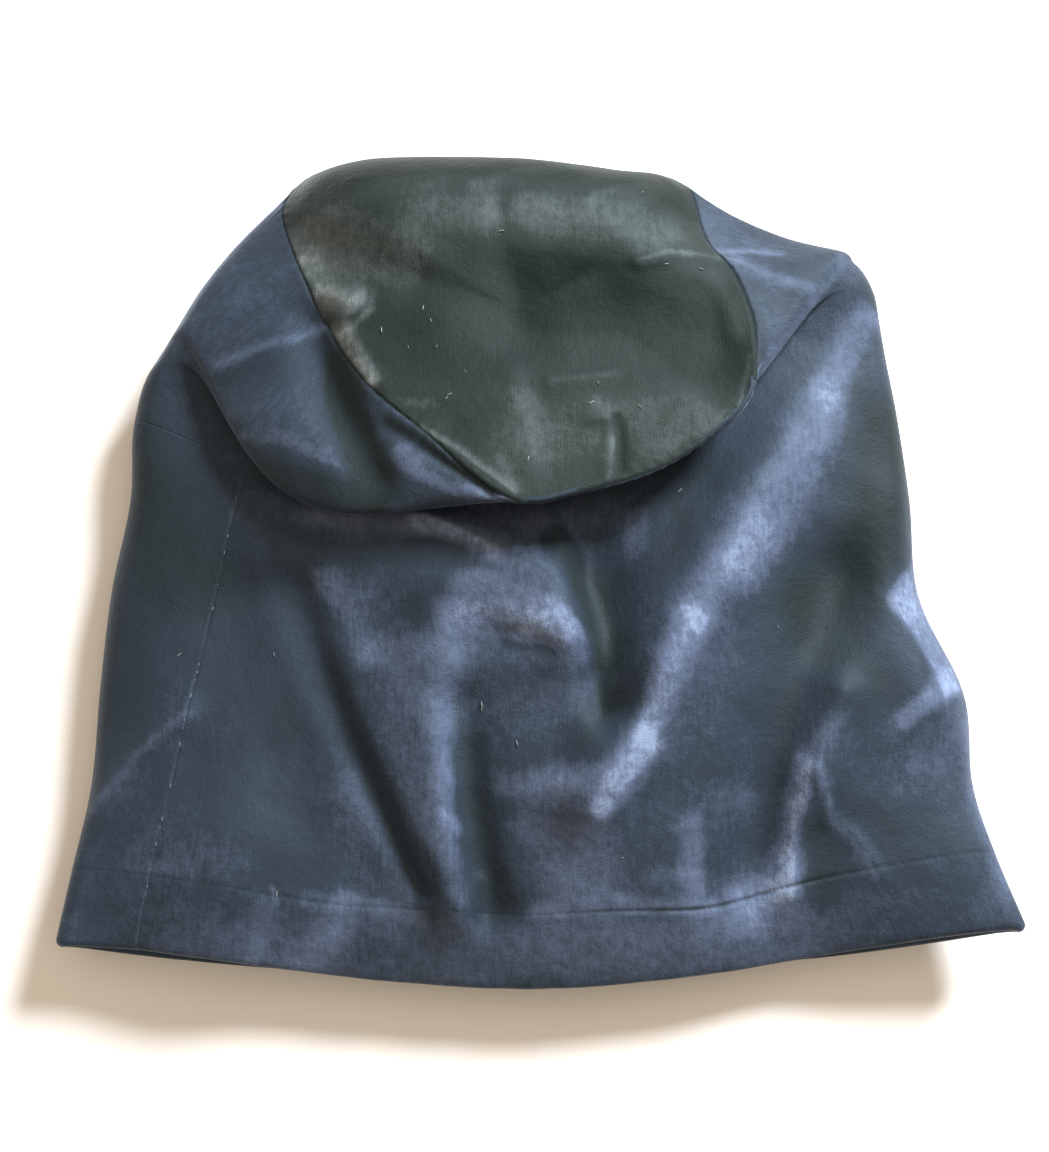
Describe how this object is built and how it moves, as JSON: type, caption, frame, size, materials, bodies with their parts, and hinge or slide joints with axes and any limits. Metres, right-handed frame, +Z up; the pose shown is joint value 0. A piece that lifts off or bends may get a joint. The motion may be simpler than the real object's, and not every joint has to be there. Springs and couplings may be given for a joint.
{
  "type": "velvet cap",
  "caption": "Soft velvet cap lying flat, with a turned-up hem round its open end and a dark oval crown panel flopped forward over the side tube.",
  "frame": {"origin": "middle of the bottom of the cap's box, on the surface that it lies on", "axes": "+X along the hem to its right corner, -Y out of the open end, +Z up"},
  "size_m": [0.2754, 0.2572, 0.06],
  "materials": {
    "navy_velvet": "cut pile velvet, crushed in places",
    "dark_velvet": "cut pile velvet, smooth"
  },
  "bodies": {
    "root": {"side_tube": "navy_velvet", "turned_up_hem": "navy_velvet", "crown_panel": "dark_velvet"}
  },
  "joints": []
}
